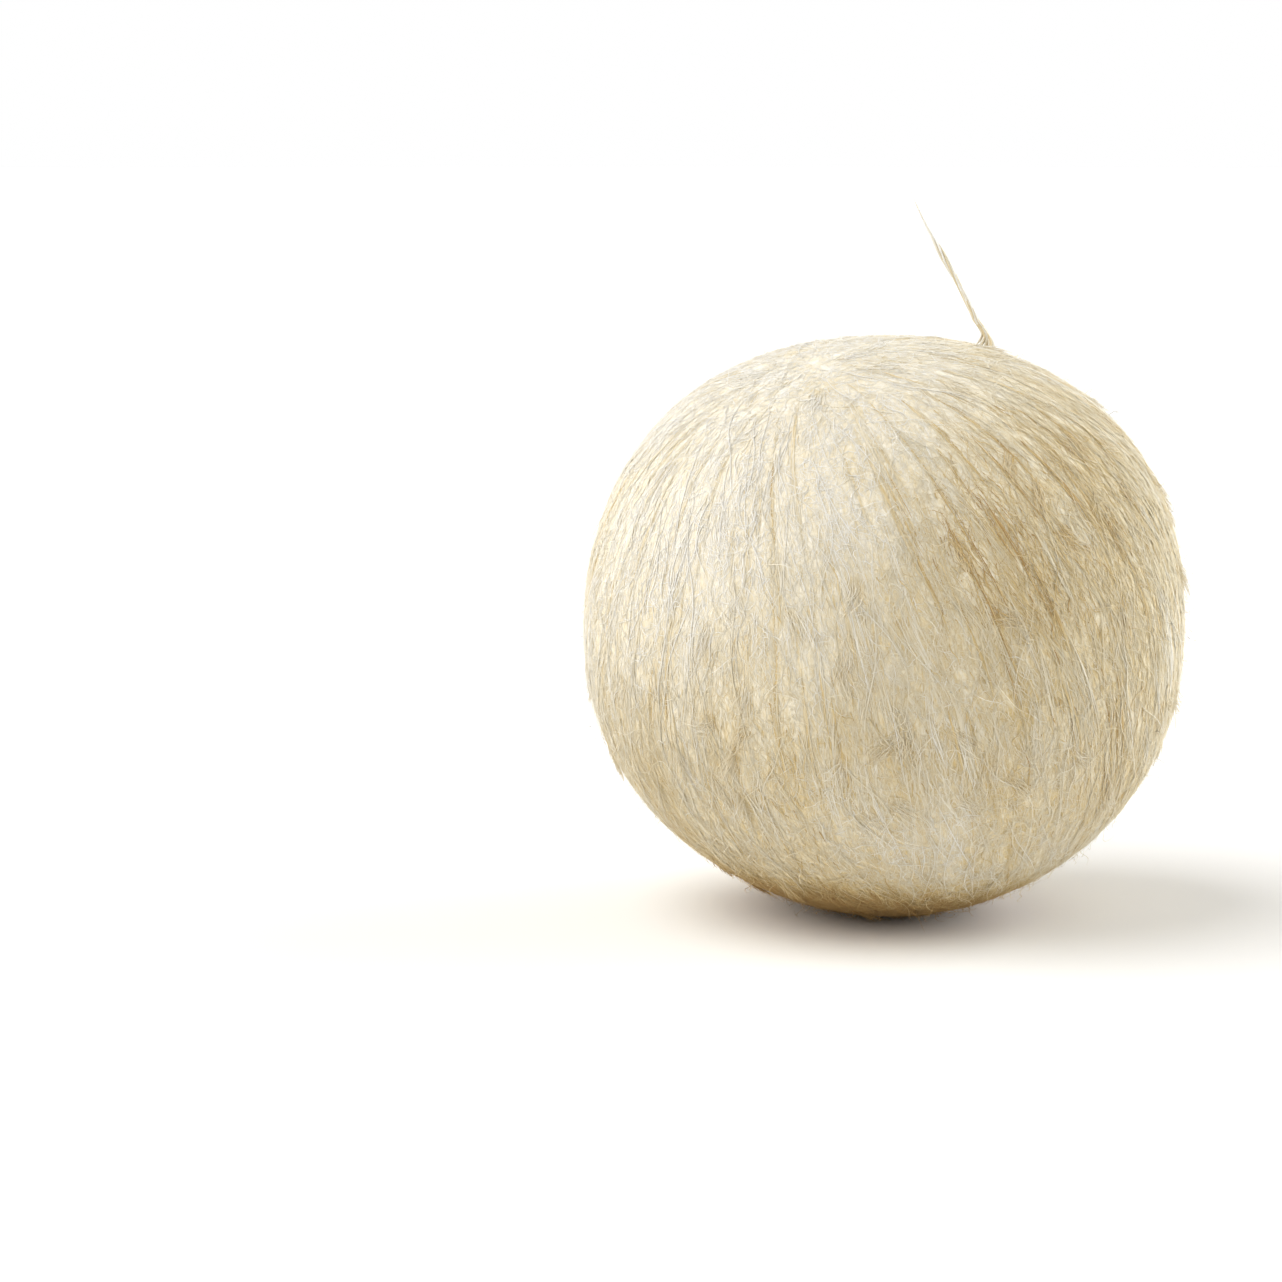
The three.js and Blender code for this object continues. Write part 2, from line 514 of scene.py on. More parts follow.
class Finish:
    """A material in the making, with one way to add any node."""

    def __init__(self, name):
        self.material = bpy.data.materials.new(name)
        self.material.use_nodes = True
        self.tree = self.material.node_tree
        self.shader = self.tree.nodes["Principled BSDF"]

    def node(self, kind, settings=None, inputs=None, output=0):
        """Adds a node, with its settings first and then its sockets, and returns one output."""
        made = self.tree.nodes.new(kind)
        for key, value in (settings or {}).items():
            if key == "stops":
                self.set_stops(made.color_ramp, value)
            else:
                setattr(made, key, value)
        for key, value in (inputs or {}).items():
            self.feed(made.inputs[key], value)
        return Socket(self, made.outputs[output])

    @staticmethod
    def set_stops(ramp, stops):
        while len(ramp.elements) < len(stops):
            ramp.elements.new(1.0)
        for element, (place, colour) in zip(ramp.elements, stops):
            element.position = place
            element.color = (*colour, 1.0)

    def feed(self, target, value):
        if isinstance(value, Socket):
            self.tree.links.new(value.socket, target)
        else:
            target.default_value = value

    def vector(self, operation, *values, output=0):
        return self.node("ShaderNodeVectorMath", {"operation": operation}, dict(enumerate(values)), output)

    def scaled(self, vector, size):
        return self.node("ShaderNodeVectorMath", {"operation": "SCALE"}, {0: vector, "Scale": size})

    def noise(self, place, scale, detail=2.0, roughness=0.5):
        inputs = {"Vector": place, "Scale": scale, "Detail": detail, "Roughness": roughness}
        return self.node("ShaderNodeTexNoise", None, inputs)

    def set(self, **values):
        """Sets the shader's own sockets, by name with _ for a space."""
        for key, value in values.items():
            self.feed(self.shader.inputs[key.replace("_", " ")], value)


TIP_PALER = 0.10  # how much paler a fibre is at its tip than at its root
DULL = 0.1  # husk fibre's weak shine
FELT_ROUGHNESS = 0.9
COMBED_ROUGHNESS = 0.75
HAIR_ROUGHNESS = 0.6


def fibre_finish(name, stops, roughness):
    """Fibre whose colour comes from its tone and pales a little towards its tip."""
    finish = Finish(name)
    place = finish.node("ShaderNodeUVMap", {"uv_map": "OFBake"})
    along = finish.node("ShaderNodeSeparateXYZ", None, {0: place})
    tone = Socket(finish, along.socket.node.outputs[1])
    shade = tone + (along - 0.5) * TIP_PALER
    colour = finish.node("ShaderNodeValToRGB", {"stops": stops}, {0: shade})
    finish.set(Base_Color=colour, Roughness=roughness, Specular_IOR_Level=DULL)
    return finish.material


# The felted body's pattern: noise scales are in lumps a metre
BEND_SCALE = 90.0
BEND_SIZE = 5.0 * MM  # how far the streaks are bent
MAT_SCALE = 1500.0
BLOTCH_SCALE = 60.0
COMBED_EDGE = (0.18, 0.5)  # distances from the crown's axis over which streaks fade in
BROAD_STREAK = (2.2 * MM, 14 * MM)  # a streak's width and length
FINE_STREAK = (0.55 * MM, 3.0 * MM)
BODY_TONE = -0.52
BUMP_STRENGTH = 0.65
BUMP_HEIGHT = 0.5 * MM


def felt_finish(stops):
    """The felted body: matted short fibre, streaked along the flow, tan in its hollows as painted shade."""
    finish = Finish("felted husk")
    here = finish.node("ShaderNodeTexCoord", output="Object")
    off = finish.vector("SUBTRACT", here, tuple(MIDDLE))
    bend = {"Vector": here, "Scale": BEND_SCALE, "Detail": 2.0}
    bend = finish.node("ShaderNodeTexNoise", None, bend, 1)
    bend = finish.scaled(finish.vector("SUBTRACT", bend, (0.5, 0.5, 0.5)), BEND_SIZE)
    way = finish.vector("NORMALIZE", finish.vector("ADD", off, bend))
    down = finish.vector("DOT_PRODUCT", way, tuple(CROWN), output=1)
    flat = finish.vector("SUBTRACT", way, finish.scaled(tuple(CROWN), down))
    ring = finish.vector("NORMALIZE", flat)
    turned = down.maths("ARCCOSINE", down)
    out = finish.vector("LENGTH", flat, output=1)
    low, high = COMBED_EDGE
    combed = finish.node("ShaderNodeMapRange", None, {"Value": out, "From Min": low, "From Max": high})

    def streaks(across, along, detail):
        lengthways = finish.scaled(tuple(CROWN), turned * (RADIUS / along))
        widthways = finish.scaled(ring, RADIUS / across)
        streaked = finish.noise(finish.vector("ADD", lengthways, widthways), 1.0, detail, 0.6)
        plain = finish.noise(here, 0.4 / across, detail, 0.6)
        return plain + (streaked - plain) * combed

    broad = streaks(*BROAD_STREAK, 3.0)
    fine = streaks(*FINE_STREAK, 2.0)
    matted = finish.noise(here, MAT_SCALE, 3.0, 0.7)
    blotch = finish.noise(here, BLOTCH_SCALE, 3.0, 0.5)
    # pale is the share on the lit upper-left side: the body is painted paler there as painted highlight
    pale = finish.vector("DOT_PRODUCT", way, tuple(LIT_SIDE), output=1)
    low, high = BODY_LIT_SIDE_EDGE
    pale = finish.node("ShaderNodeMapRange", None, {"Value": pale, "From Min": low, "From Max": high})
    drop = finish.vector("DOT_PRODUCT", way, (0.0, 0.0, 1.0), output=1)
    # Painted shade round the rest spot below
    low, high = REST_SPOT_SHADE_EDGE
    fade = {"Value": drop, "From Min": low, "From Max": high, "To Min": REST_SPOT_SHADE, "To Max": 0.0}
    rest_spot_shade = finish.node("ShaderNodeMapRange", {"interpolation_type": "SMOOTHSTEP"}, fade)
    # The same noises raise the bump, so the body's hollows come out darker: painted shade
    tone = broad * 0.55 + fine * 0.6 + matted * 0.5 + blotch * 0.35 + pale * 0.32 + BODY_TONE - rest_spot_shade
    colour = finish.node("ShaderNodeValToRGB", {"stops": stops}, {0: tone})
    height = (broad * 0.3 + fine * 0.6 + matted * 0.7) * (1 - pale * 0.5)
    bump = {"Strength": BUMP_STRENGTH, "Distance": BUMP_HEIGHT, "Height": height}
    bump = finish.node("ShaderNodeBump", None, bump)
    finish.set(Base_Color=colour, Roughness=FELT_ROUGHNESS, Normal=bump, Specular_IOR_Level=DULL)
    return finish.material


# What a user may change


class CoatSettings(bpy.types.PropertyGroup):
    seed: IntProperty(name="Seed", description="Changes where every fibre lies", default=7, min=0)
    locks: IntProperty(name="Locks", description="Number of combed locks of fibre", default=900, min=1)
    lock_fibres: IntProperty(name="Fibres in a Lock", description="Fibres in each lock", default=10, min=1)
    felt_fibres: IntProperty(name="Felt Fibres", description="Short matted fibres", default=42000, min=1)
    # Tan fibres laid in each crease as painted shade
    crease_shade_fibres: IntProperty(
        name="Crease Fibres", description="Tan fibres in each crease", default=10, min=1,
    )
    flecks: IntProperty(name="Flecks", description="Short tan flecks", default=5000, min=1)
    hairs: IntProperty(name="Raised Hairs", description="Fine hairs lying proud", default=1500, min=1)
    fuzz: IntProperty(name="Fuzz", description="Fine hairs that stand off the coat", default=5000, min=1)
    tufts: IntProperty(name="Tufts", description="Frayed tufts", default=150, min=1)
    flyaways: IntProperty(name="Flyaways", description="Long hairs that stand well off", default=160, min=1)
    strand_fibres: IntProperty(name="Strand Fibres", description="Fibres in the strand", default=40, min=4)
    fibre_width: FloatProperty(
        name="Fibre Width", description="Width of a combed fibre",
        default=0.14 * MM, min=0.05 * MM, unit="LENGTH", precision=5,
    )
    ivory: FloatVectorProperty(
        name="Ivory", description="The palest fibres", subtype="COLOR", default=(0.93, 0.915, 0.875),
    )
    cream: FloatVectorProperty(
        name="Cream", description="Most of the coat", subtype="COLOR", default=(0.765, 0.675, 0.485),
    )
    pale: FloatVectorProperty(
        name="Pale", description="Raised fibres", subtype="COLOR", default=(0.835, 0.78, 0.65),
    )
    straw: FloatVectorProperty(
        name="Straw", description="Deeper and older fibre", subtype="COLOR", default=(0.66, 0.51, 0.26),
    )
    # Tan colours the darkest specks, and also the hollows and creases painted darker as shade
    tan: FloatVectorProperty(
        name="Tan", description="The darkest specks and hollows", subtype="COLOR",
        default=(0.42, 0.26, 0.10),
    )

    def stops(self):
        """Ramp from the darkest to the palest fibre."""
        return [
            (0.0, self.tan), (0.3, self.straw), (0.58, self.cream), (0.8, self.pale), (1.0, self.ivory),
        ]


class StudioSettings(bpy.types.PropertyGroup):
    lens: FloatProperty(name="Lens", description="Focal length", default=100.0, unit="CAMERA")
    elevation: FloatProperty(
        name="Elevation", description="Height of the view above level",
        default=math.radians(8), subtype="ANGLE",
    )
    key: FloatProperty(name="Key Light", description="Strength of the soft key light", default=2.99)
    fill: FloatProperty(
        name="Fill Light", description="Strength of the soft light at the right", default=4.85,
    )
    sky: FloatProperty(name="Sky", description="Strength of the light from all round", default=0.38)
    floor: FloatVectorProperty(
        name="Floor", description="Colour of the floor", subtype="COLOR", default=(0.93, 0.93, 0.93),
    )


# Pieces

BODY_CELLS = 128


def cube_sphere(cells):
    """Directions and four-sided faces of a sphere made from a cube's six faces."""
    across = np.tan(np.linspace(-math.pi / 4, math.pi / 4, cells + 1))
    right, up = np.meshgrid(across, across, indexing="ij")
    out = np.ones_like(right)
    sides = [
        (out, right, up), (-out, up, right), (up, out, right),
        (right, -out, up), (right, up, out), (up, right, -out),
    ]
    directions = np.concatenate([np.stack(side, -1).reshape(-1, 3) for side in sides])
    corner = np.arange((cells + 1) ** 2).reshape(cells + 1, cells + 1)
    square = np.stack([corner[:-1, :-1], corner[1:, :-1], corner[1:, 1:], corner[:-1, 1:]], -1)
    square = square.reshape(-1, 4)
    faces = np.concatenate([square + side * (cells + 1) ** 2 for side in range(6)])
    rounded = np.round(unit(directions), 7)
    _, kept, merged = np.unique(rounded, axis=0, return_index=True, return_inverse=True)
    return unit(directions)[kept], merged.ravel()[faces]


class COCONUT_OT_felted_body(bpy.types.Operator):
    """Makes the felted body that the fibres lie on"""

    bl_idname = "coconut.felted_body"
    bl_label = "Felted Body"

    def execute(self, context):
        settings = context.scene.coconut_coat
        directions, faces = cube_sphere(BODY_CELLS)
        points = raise_to(directions, relief(directions))
        mesh = bpy.data.meshes.new("felted_body")
        mesh.from_pydata(points.tolist(), [], faces.tolist())
        mesh.polygons.foreach_set("use_smooth", np.ones(len(faces), bool))
        mesh.update()
        body = bpy.data.objects.new("felted_body", mesh)
        context.scene.collection.objects.link(body)
        coat_piece(body, felt_finish(settings.stops()))
        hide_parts(NUT_NODE)
        return {"FINISHED"}


LOCK_STEPS = 24
LOCK_SECTORS = 5
LOCK_LENGTHS = (18, 58)  # millimetres
LOCK_HALF_WIDTHS = (0.6, 2.4)  # millimetres
COMBED_STEPS = 11


class COCONUT_OT_combed_locks(bpy.types.Operator):
    """Lays locks of long fibre over the body, combed from the crown to the far end"""

    bl_idname = "coconut.combed_locks"
    bl_label = "Combed Locks"

    def execute(self, context):
        settings = context.scene.coconut_coat
        random = np.random.default_rng(settings.seed)

        # The middle line of each lock: fewer on the lit upper-left side, none at the crown
        locks, each = settings.locks, settings.lock_fibres
        starts = spread_directions(random, locks * 3)
        kept = random.uniform(size=len(starts)) > 0.65 * lit_side_share(starts)
        starts = starts[kept & (from_crown(starts) > 0.3)][:locks]
        lengths = random.uniform(*LOCK_LENGTHS, locks) * MM
        headings = wander(random, locks, LOCK_STEPS, 0.10, 0.08, 1.2)
        lines = walk(starts, lengths, headings, LOCK_STEPS)
        half = random.uniform(*LOCK_HALF_WIDTHS, locks) * MM
        tone = random.normal(0.50, 0.035, locks)
        height = random.uniform(0.0, 0.15, locks)

        # Each fibre keeps to a stretch of its lock's line, off to one side of it
        lock = np.repeat(np.arange(locks), each)
        count = len(lock)
        begin = random.uniform(0, 0.5, count)
        end = 1 - random.uniform(0, 0.4, count)
        share = begin[:, None] + (end - begin)[:, None] * np.linspace(0, 1, COMBED_STEPS)
        place = share * (LOCK_STEPS - 1)
        below = np.minimum(place.astype(int), LOCK_STEPS - 2)
        part = (place - below)[..., None]
        line = lines[lock[:, None], below] * (1 - part) + lines[lock[:, None], below + 1] * part
        line = unit(line)
        side = np.cross(line, flow(line))
        spread = random.normal(0, 0.55, count)
        narrowing = 0.35 + 0.65 * np.sin(math.pi * share) ** 0.6
        wave = random.uniform(0.8, 2.5, (count, 1))
        phase = random.uniform(0, 2 * math.pi, (count, 1))
        wobble = random.normal(0, 0.40, (count, 1)) * MM * np.sin(2 * math.pi * wave * share + phase)
        offset = (spread * half[lock])[:, None] * narrowing + wobble
        paths = unit(line + side * (offset / RADIUS)[..., None])

        # Fibres near the line lie highest, and all of them dip in and out of the felt
        ridge = np.maximum(0, 1 - spread**2)[:, None] * np.sin(math.pi * share) ** 0.5
        dive = 0.08 * np.sin(2 * math.pi * random.uniform(0.5, 1.6, (count, 1)) * share + phase)
        lifts = height[lock][:, None] * (0.4 + ridge) + dive + 0.05 - 0.20 * smoothness(paths)
        widths = settings.fibre_width * random.uniform(0.6, 1.3, (count, 1))
        widths = widths * taper(COMBED_STEPS, 0.3, 0.2)
        tones = tone[lock] + random.normal(0, 0.06, count)
        material = fibre_finish("combed fibre", settings.stops(), COMBED_ROUGHNESS)
        lay_fibres("combed_locks", material, paths, lifts, widths, tones, LOCK_SECTORS)
        return {"FINISHED"}


FELT_STEPS = 5
FELT_SECTORS = 6
FELT_LENGTHS = (3, 8)  # millimetres
FELT_WIDTH = 0.13 * MM


class COCONUT_OT_felt_fibres(bpy.types.Operator):
    """Mats short fibres into the body, curliest where the coat is smooth felt"""

    bl_idname = "coconut.felt_fibres"
    bl_label = "Felt Fibres"

    def execute(self, context):
        settings = context.scene.coconut_coat
        random = np.random.default_rng(settings.seed + 1)
        count = settings.felt_fibres
        starts = spread_directions(random, count)
        lengths = random.uniform(*FELT_LENGTHS, count) * MM
        headings = wander(random, count, FELT_STEPS, 0.38, 0.40, 1.0)
        headings *= 1 + 1.5 * smoothness(starts)[:, None]
        paths = walk(starts, lengths, headings, FELT_STEPS)
        along = np.linspace(0, 1, FELT_STEPS)
        phase = random.uniform(0, 2 * math.pi, (count, 1))
        lifts = 0.12 + 0.10 * np.sin(2 * math.pi * along + phase)
        widths = FELT_WIDTH * random.uniform(0.6, 1.2, (count, 1)) * taper(FELT_STEPS, 0.3, 0.25)
        tones = random.normal(0.52, 0.09, count)
        material = fibre_finish("felt fibre", settings.stops(), FELT_ROUGHNESS)
        lay_fibres("felt_fibres", material, paths, lifts, widths, tones, FELT_SECTORS)
        return {"FINISHED"}


OLD_STEPS = 12
OLD_SECTORS = 4
OLD_WIDTH = 0.20 * MM


class COCONUT_OT_old_and_crease_shade_fibres(bpy.types.Operator):
    """Lays tan fibres deep in the creases as painted shade, and short flecks of tan, older fibre all over
    """

    bl_idname = "coconut.old_fibres"
    bl_label = "Old Fibres"

    def execute(self, context):
        settings = context.scene.coconut_coat
        random = np.random.default_rng(settings.seed + 4)
        along = np.linspace(0, 1, OLD_STEPS)

        # Tan fibres that keep to a crease, darkening it as painted shade
        crease = np.repeat(np.arange(len(CREASES.lines)), settings.crease_shade_fibres)
        count = len(crease)
        begin = random.uniform(0, 0.75, (count, 1))
        share = begin + random.uniform(0.12, 0.5, (count, 1)) * along
        spans = CREASES.spans[crease][:, None]
        turned = CREASES.begins[crease][:, None] + spans * np.minimum(share, 1.05)
        stray = np.cumsum(random.normal(0, 0.07, (count, OLD_STEPS)), 1)
        stray = stray + random.normal(0, 0.16, (count, 1))
        lines = CREASES.lines[crease][:, None] + stray * MM / RADIUS / np.sin(turned)
        creased = on_line(lines, turned)

        # Short flecks anywhere
        flecks = settings.flecks
        starts = spread_directions(random, flecks)
        lengths = random.gamma(2.0, 1.1, flecks) * MM
        headings = wander(random, flecks, OLD_STEPS, 0.15, 0.3, 1.0)
        speckled = walk(starts, lengths, headings, OLD_STEPS)

        paths = np.concatenate([creased, speckled])
        count = len(paths)
        lifts = 0.16 + 0.10 * np.sin(math.pi * along) + random.normal(0, 0.04, (count, 1))
        widths = OLD_WIDTH * random.uniform(0.5, 1.2, (count, 1)) * taper(OLD_STEPS, 0.1, 0.1)
        tones = random.normal(0.11, 0.09, count)
        material = fibre_finish("old and crease shade fibre", settings.stops(), FELT_ROUGHNESS)
        lay_fibres("old_fibres", material, paths, lifts, widths, tones, OLD_SECTORS)
        return {"FINISHED"}


HAIR_STEPS = 12
HAIR_LENGTHS = (8, 34)  # millimetres
HAIR_WIDTH = 0.13 * MM


class COCONUT_OT_raised_hairs(bpy.types.Operator):
    """Lays single hairs over the coat, some of them lifting off at an end"""

    bl_idname = "coconut.raised_hairs"
    bl_label = "Raised Hairs"

    def execute(self, context):
        settings = context.scene.coconut_coat
        random = np.random.default_rng(settings.seed + 2)
        count = settings.hairs
        starts = spread_directions(random, count)
        lengths = random.uniform(*HAIR_LENGTHS, count) * MM
        headings = wander(random, count, HAIR_STEPS, 0.22, 0.28, 1.0)
        paths = walk(starts, lengths, headings, HAIR_STEPS)
        along = np.linspace(0, 1, HAIR_STEPS)
        rise = random.gamma(1.2, 0.35, (count, 1))
        lifts = 0.36 + 0.12 * np.sin(math.pi * along) + rise * along**3
        widths = HAIR_WIDTH * random.uniform(0.6, 1.4, (count, 1)) * taper(HAIR_STEPS, 0.4, 0.15)
        tones = random.normal(0.27, 0.09, count)
        material = fibre_finish("pale hair", settings.stops(), HAIR_ROUGHNESS)
        lay_fibres("raised_hairs", material, paths, lifts, widths, tones)
        return {"FINISHED"}


FUZZ_STEPS = 7
FUZZ_SECTORS = 2
FUZZ_LENGTHS = (2.5, 8)  # millimetres
FUZZ_WIDTH = 0.10 * MM


class COCONUT_OT_fuzz(bpy.types.Operator):
    """Stands very fine, curly hairs off the coat, so that its outline is soft"""

    bl_idname = "coconut.fuzz"
    bl_label = "Fuzz"

    def execute(self, context):
        settings = context.scene.coconut_coat
        random = np.random.default_rng(settings.seed + 3)
        count = settings.fuzz
        starts = spread_directions(random, count)
        lengths = random.uniform(*FUZZ_LENGTHS, count) * MM
        headings = wander(random, count, FUZZ_STEPS, 0.7, 0.9, 1.2)
        paths = walk(starts, lengths, headings, FUZZ_STEPS)
        along = np.linspace(0, 1, FUZZ_STEPS)
        rise = random.gamma(1.8, 0.8, (count, 1))
        lifts = 0.2 + rise * np.sin(along * math.pi * random.uniform(0.4, 0.9, (count, 1)))
        widths = FUZZ_WIDTH * random.uniform(0.6, 1.3, (count, 1)) * taper(FUZZ_STEPS, 0.6, 0.2)
        tones = random.normal(0.28, 0.08, count)
        material = fibre_finish("fuzz", settings.stops(), HAIR_ROUGHNESS)
        lay_fibres("fuzz", material, paths, lifts, widths, tones, FUZZ_SECTORS)
        return {"FINISHED"}


LOOSE_STEPS = 12
LOOSE_SECTORS = 2
LOOSE_WIDTH = 0.10 * MM
TUFT_HAIRS = 20
TUFT_SPREAD = 0.012  # how far apart a tuft's hairs start, in radians
TUFT_LENGTHS = (4, 9)  # millimetres
FLYAWAY_LENGTHS = (8, 22)  # millimetres


class COCONUT_OT_loose_hairs(bpy.types.Operator):
    """Frays small tufts off the coat and lets single long hairs fly from it"""

    bl_idname = "coconut.loose_hairs"
    bl_label = "Loose Hairs"

    def execute(self, context):
        settings = context.scene.coconut_coat
        random = np.random.default_rng(settings.seed + 5)
        along = np.linspace(0, 1, LOOSE_STEPS)
        tufts, single = settings.tufts, settings.flyaways

        # A tuft's hairs start close together and share one bend
        tuft = np.repeat(np.arange(tufts), TUFT_HAIRS)
        gathered = spread_directions(random, tufts)[tuft]
        gathered = unit(gathered + random.normal(0, TUFT_SPREAD, (len(tuft), 3)))
        bunched = wander(random, tufts, LOOSE_STEPS, 0.4, 0.3, 0.8)[tuft]
        bunched += wander(random, len(tuft), LOOSE_STEPS, 0.10, 0.25, 1.0)
        free = wander(random, single, LOOSE_STEPS, 0.5, 0.6, 1.0)

        # Tufts first, then single hairs
        starts = np.concatenate([gathered, spread_directions(random, single)])
        lengths = MM * np.concatenate([
            random.uniform(*TUFT_LENGTHS, len(tuft)),
            random.uniform(*FLYAWAY_LENGTHS, single),
        ])
        rise = np.concatenate([
            random.gamma(3, 0.5, tufts)[tuft] * random.uniform(0.7, 1.3, len(tuft)),
            random.gamma(2, 1.1, single),
        ])[:, None]
        paths = walk(starts, lengths, np.concatenate([bunched, free]), LOOSE_STEPS)
        lifts = 0.2 + rise * along ** random.uniform(1.5, 3.0, (len(paths), 1))
        widths = LOOSE_WIDTH * random.uniform(0.7, 1.4, (len(paths), 1)) * taper(LOOSE_STEPS, 0.6, 0.3)
        tones = random.normal(0.28, 0.08, len(paths))
        material = fibre_finish("loose hair", settings.stops(), HAIR_ROUGHNESS)
        lay_fibres("loose_hairs", material, paths, lifts, widths, tones, LOOSE_SECTORS, ROUND_SECTION)
        return {"FINISHED"}


STRAND_STEPS = 40
STRAND_TWIST = 7.0  # radians over its height
STRAND_FULL = (1.04, 0.99, 0.93)  # heights that its longest fibres reach, as shares of its own
STRAND_RISEN = 0.16  # share of its height over which the frayed foot gathers
FOOT_SHIFT = np.array((1.3, 0.0, 0.0)) * MM
FRONT = np.array((0.0, -1.0, 0.0))


def strand_line(share):
    """Points up the middle of the frame's strand, from its foot at 0 to its tip at 1."""
    corners = np.array([v.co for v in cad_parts[STRAND_NODE].data.vertices])
    height = STRAND_LOW[2] + share * (STRAND_HIGH[2] - STRAND_LOW[2])
    sides = [np.polyval(np.polyfit(corners[:, 2], corners[:, axis], 3), height) for axis in (0, 1)]
    return np.stack([*sides, height], -1)


class COCONUT_OT_crown_strand(bpy.types.Operator):
    """Twists the long loose strand at the crown from its fibres and frays its foot"""

    bl_idname = "coconut.crown_strand"
    bl_label = "Crown Strand"

    def execute(self, context):
        settings = context.scene.coconut_coat
        random = np.random.default_rng(settings.seed + 6)
        count = settings.strand_fibres
        ends = np.concatenate([STRAND_FULL, random.uniform(0.2, 0.95, count - len(STRAND_FULL))])
        share = ends[:, None] * np.linspace(0, 1, STRAND_STEPS)

        # Twisted round the frame's strand, with a looser stretch above its middle
        turn = random.uniform(0, 2 * math.pi, (count, 1)) + STRAND_TWIST * share
        slim = np.clip(1 - share, 0, 1)
        bundle = 0.62 * slim**0.7 * (1 + 1.4 * np.exp(-((share - 0.62) / 0.13) ** 2))
        out = random.uniform(0.35, 1.0, (count, 1)) * bundle * MM
        twisted = strand_line(share)
        twisted += np.stack([out * np.cos(turn), out * np.sin(turn), 0 * out], -1)

        # The foot fans out over the coat and gathers into the twist
        root = unit(strand_line(0.0) - MIDDLE)
        around = np.cross(root, unit(random.normal(size=(count, 3))))
        fan = random.uniform(0.3, 3.2, (count, 1)) * MM / RADIUS * np.clip(1 - share / 0.2, 0, 1) ** 0.7
        spots = unit(root + FOOT_SHIFT / RADIUS + around[:, None] * fan[..., None])
        climb = share * (STRAND_HIGH[2] - STRAND_LOW[2])
        skin = raise_to(spots, relief(spots) + 0.35 * MM + climb)
        risen = smooth_step(0.0, STRAND_RISEN, share)[..., None]
        points = skin * (1 - risen) + twisted * risen
        widths = 0.50 * MM * random.uniform(0.6, 1.1, (count, 1)) * slim**0.5 + 0.20 * MM
        widths *= taper(STRAND_STEPS, 0.4, 0.5)
        tones = random.choice((0.5, 0.8, 0.95), count)[:, None] + 0.05 * share
        material = fibre_finish("straw fibre", settings.stops(), HAIR_ROUGHNESS)
        piece = fibre_piece("crown_strand", points, widths, tones, FRONT, ROUND_SECTION)
        coat_piece(piece, material)
        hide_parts(STRAND_NODE)
        return {"FINISHED"}


FLOOR_RADIUS = 12
KEY_COLOUR, KEY_TOWARDS, KEY_ANGLE = (1.0, 0.99, 0.97), (-0.8, -0.15, 0.85), math.radians(70)
FILL_COLOUR, FILL_TOWARDS, FILL_ANGLE = (0.93, 0.965, 1.0), (1.0, 0.32, 0.1), math.radians(80)
SKY_COLOUR = (1.0, 0.955, 0.88)


class COCONUT_OT_studio(bpy.types.Operator):
    """Sets the floor, the soft lights and the camera"""

    bl_idname = "coconut.studio"
    bl_label = "Studio"

    def execute(self, context):
        settings = context.scene.coconut_studio
        bpy.ops.mesh.primitive_circle_add(vertices=96, radius=FLOOR_RADIUS, fill_type="NGON")
        floor = context.object
        floor.name = "studio_floor"
        finish = Finish("pale floor")
        finish.set(Base_Color=(*settings.floor, 1.0), Roughness=0.9)
        floor.data.materials.append(finish.material)

        soft_sun("key", settings.key, KEY_COLOUR, KEY_TOWARDS, KEY_ANGLE)
        soft_sun("fill", settings.fill, FILL_COLOUR, FILL_TOWARDS, FILL_ANGLE)

        world = bpy.data.worlds.new("studio sky")
        world.use_nodes = True
        context.scene.world = world
        sky = world.node_tree.nodes["Background"]
        sky.inputs["Color"].default_value = tuple(settings.sky * part for part in SKY_COLOUR) + (1,)
        backdrop = world.node_tree.nodes.new("ShaderNodeBackground")
        seen = world.node_tree.nodes.new("ShaderNodeLightPath")
        either = world.node_tree.nodes.new("ShaderNodeMixShader")
        output = world.node_tree.nodes["World Output"]
        world.node_tree.links.new(seen.outputs["Is Camera Ray"], either.inputs["Fac"])
        world.node_tree.links.new(sky.outputs[0], either.inputs[1])
        world.node_tree.links.new(backdrop.outputs[0], either.inputs[2])
        world.node_tree.links.new(either.outputs[0], output.inputs["Surface"])
        backdrop.inputs["Color"].default_value = (1, 1, 1, 1)
        context.scene.view_settings.view_transform = "Standard"

        place_camera(context.scene, settings)
        return {"FINISHED"}


def soft_sun(name, energy, colour, towards, angle):
    """A distant soft lamp that shines from the direction `towards`."""
    lamp = bpy.data.lights.new(name, "SUN")
    lamp.energy = energy
    lamp.color = colour
    lamp.angle = angle
    sun = bpy.data.objects.new(name, lamp)
    sun.rotation_euler = Vector(towards).to_track_quat("Z", "Y").to_euler()
    bpy.context.scene.collection.objects.link(sun)


SENSOR = 36.0
NUT_SHARE = 0.4715  # of the picture's width that the nut takes
NUT_RIGHT = 0.189  # how far the nut's middle is right of the picture's, as a share of its width
NUT_UP = 0.0158  # and how far it is above
CLIP = (0.01, 50)


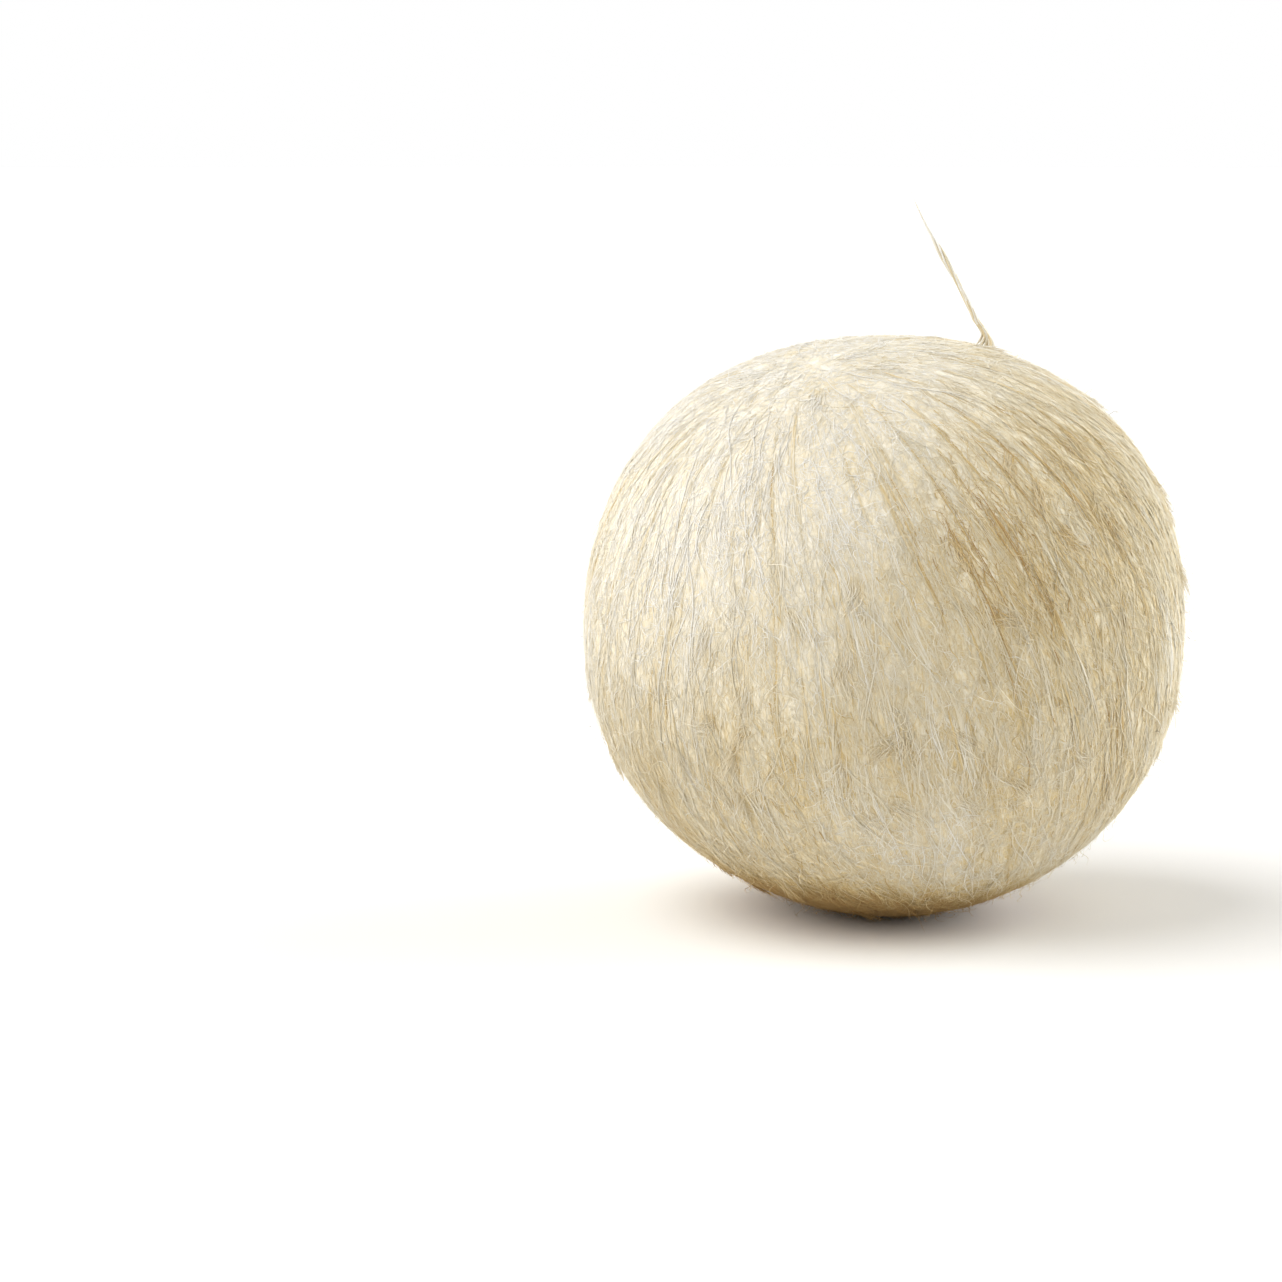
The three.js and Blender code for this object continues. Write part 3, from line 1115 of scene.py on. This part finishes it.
def place_camera(scene, settings):
    """Stands the camera in front of the nut, turned to leave clear space at its left."""
    data = bpy.data.cameras.new("camera")
    data.lens = settings.lens
    data.sensor_width = SENSOR
    camera = bpy.data.objects.new("camera", data)
    scene.collection.objects.link(camera)
    scene.camera = camera
    width = 2 * RADIUS / NUT_SHARE
    distance = width * settings.lens / SENSOR
    back = Vector((0, -math.cos(settings.elevation), math.sin(settings.elevation)))
    camera.location = Vector(MIDDLE) + back * distance
    right = Vector((1, 0, 0))
    up = back.cross(right)
    aim = Vector(MIDDLE) - right * width * NUT_RIGHT - up * width * NUT_UP
    camera.rotation_mode = "QUATERNION"
    camera.rotation_quaternion = (camera.location - aim).to_track_quat("Z", "Y")
    data.clip_start, data.clip_end = CLIP


class VIEW3D_PT_coconut(bpy.types.Panel):
    """Lists the coconut's pieces and settings"""

    bl_label = "Coconut"
    bl_idname = "VIEW3D_PT_coconut"
    bl_space_type = "VIEW_3D"
    bl_region_type = "UI"
    bl_category = "Coconut"

    def draw(self, context):
        for group in (context.scene.coconut_coat, context.scene.coconut_studio):
            box = self.layout.box()
            for name in group.__annotations__:
                box.prop(group, name)
        for operator in OPERATORS:
            self.layout.operator(operator.bl_idname)


OPERATORS = (
    COCONUT_OT_felted_body,
    COCONUT_OT_combed_locks,
    COCONUT_OT_felt_fibres,
    COCONUT_OT_old_and_crease_shade_fibres,
    COCONUT_OT_raised_hairs,
    COCONUT_OT_fuzz,
    COCONUT_OT_loose_hairs,
    COCONUT_OT_crown_strand,
    COCONUT_OT_studio,
)
CLASSES = (CoatSettings, StudioSettings, *OPERATORS, VIEW3D_PT_coconut)


def register():
    for made in CLASSES:
        bpy.utils.register_class(made)
    bpy.types.Scene.coconut_coat = PointerProperty(type=CoatSettings)
    bpy.types.Scene.coconut_studio = PointerProperty(type=StudioSettings)


def unregister():
    del bpy.types.Scene.coconut_studio
    del bpy.types.Scene.coconut_coat
    for made in reversed(CLASSES):
        bpy.utils.unregister_class(made)


def main():
    register()
    bpy.ops.coconut.felted_body()
    bpy.ops.coconut.combed_locks()
    bpy.ops.coconut.felt_fibres()
    bpy.ops.coconut.old_fibres()
    bpy.ops.coconut.raised_hairs()
    bpy.ops.coconut.fuzz()
    bpy.ops.coconut.loose_hairs()
    bpy.ops.coconut.crown_strand()
    bpy.ops.coconut.studio()


if __name__ == "__main__":
    main()
